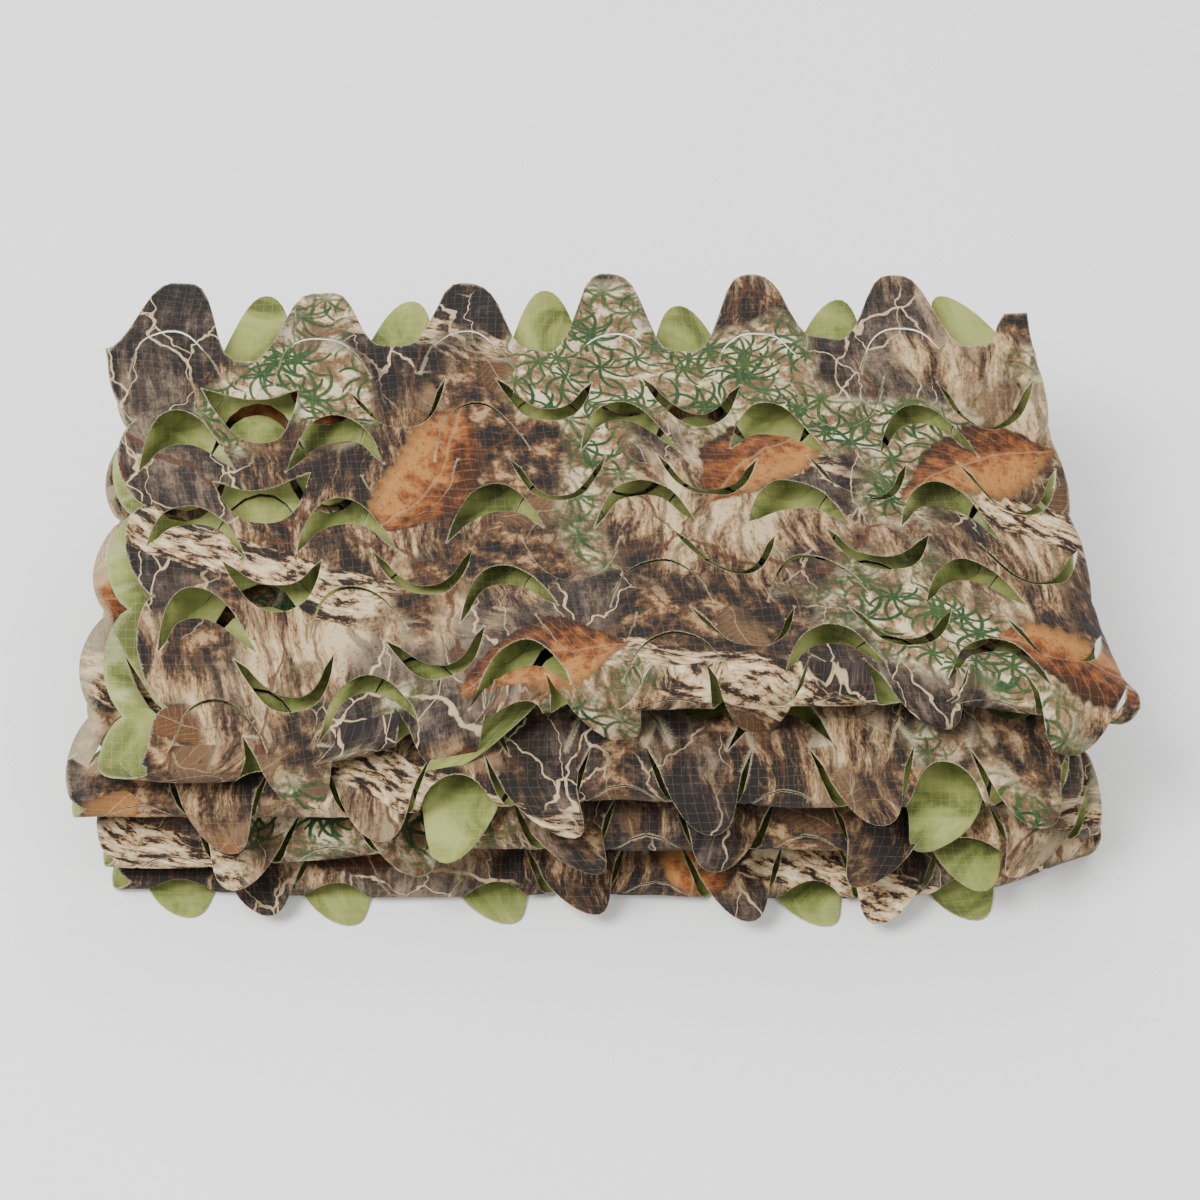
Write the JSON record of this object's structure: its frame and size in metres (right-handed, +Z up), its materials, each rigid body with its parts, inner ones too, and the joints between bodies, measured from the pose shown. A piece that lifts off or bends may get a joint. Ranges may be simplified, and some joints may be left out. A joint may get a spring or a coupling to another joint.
{
  "type": "folded leaf-cut camouflage fabric",
  "caption": "Length of leaf-cut ripstop camouflage cloth, woodland print on one side and olive green on the other, folded back and forth into a flat bundle.",
  "frame": {"origin": "middle of the bundle's bounding box, on the surface it lies on", "axes": "+X along the folds, the front folds face -Y, +Z up"},
  "size_m": [0.4926, 0.3322, 0.1138],
  "materials": {
    "camo_cloth": "matt printed ripstop, woodland camouflage in tan, brown, charcoal and green",
    "green_cloth": "matt olive green ripstop, the plain back of the cloth",
    "cut_edge": "pale frayed cut edge"
  },
  "bodies": {
    "root": {"leaf_cloth": "camo_cloth"}
  },
  "joints": []
}
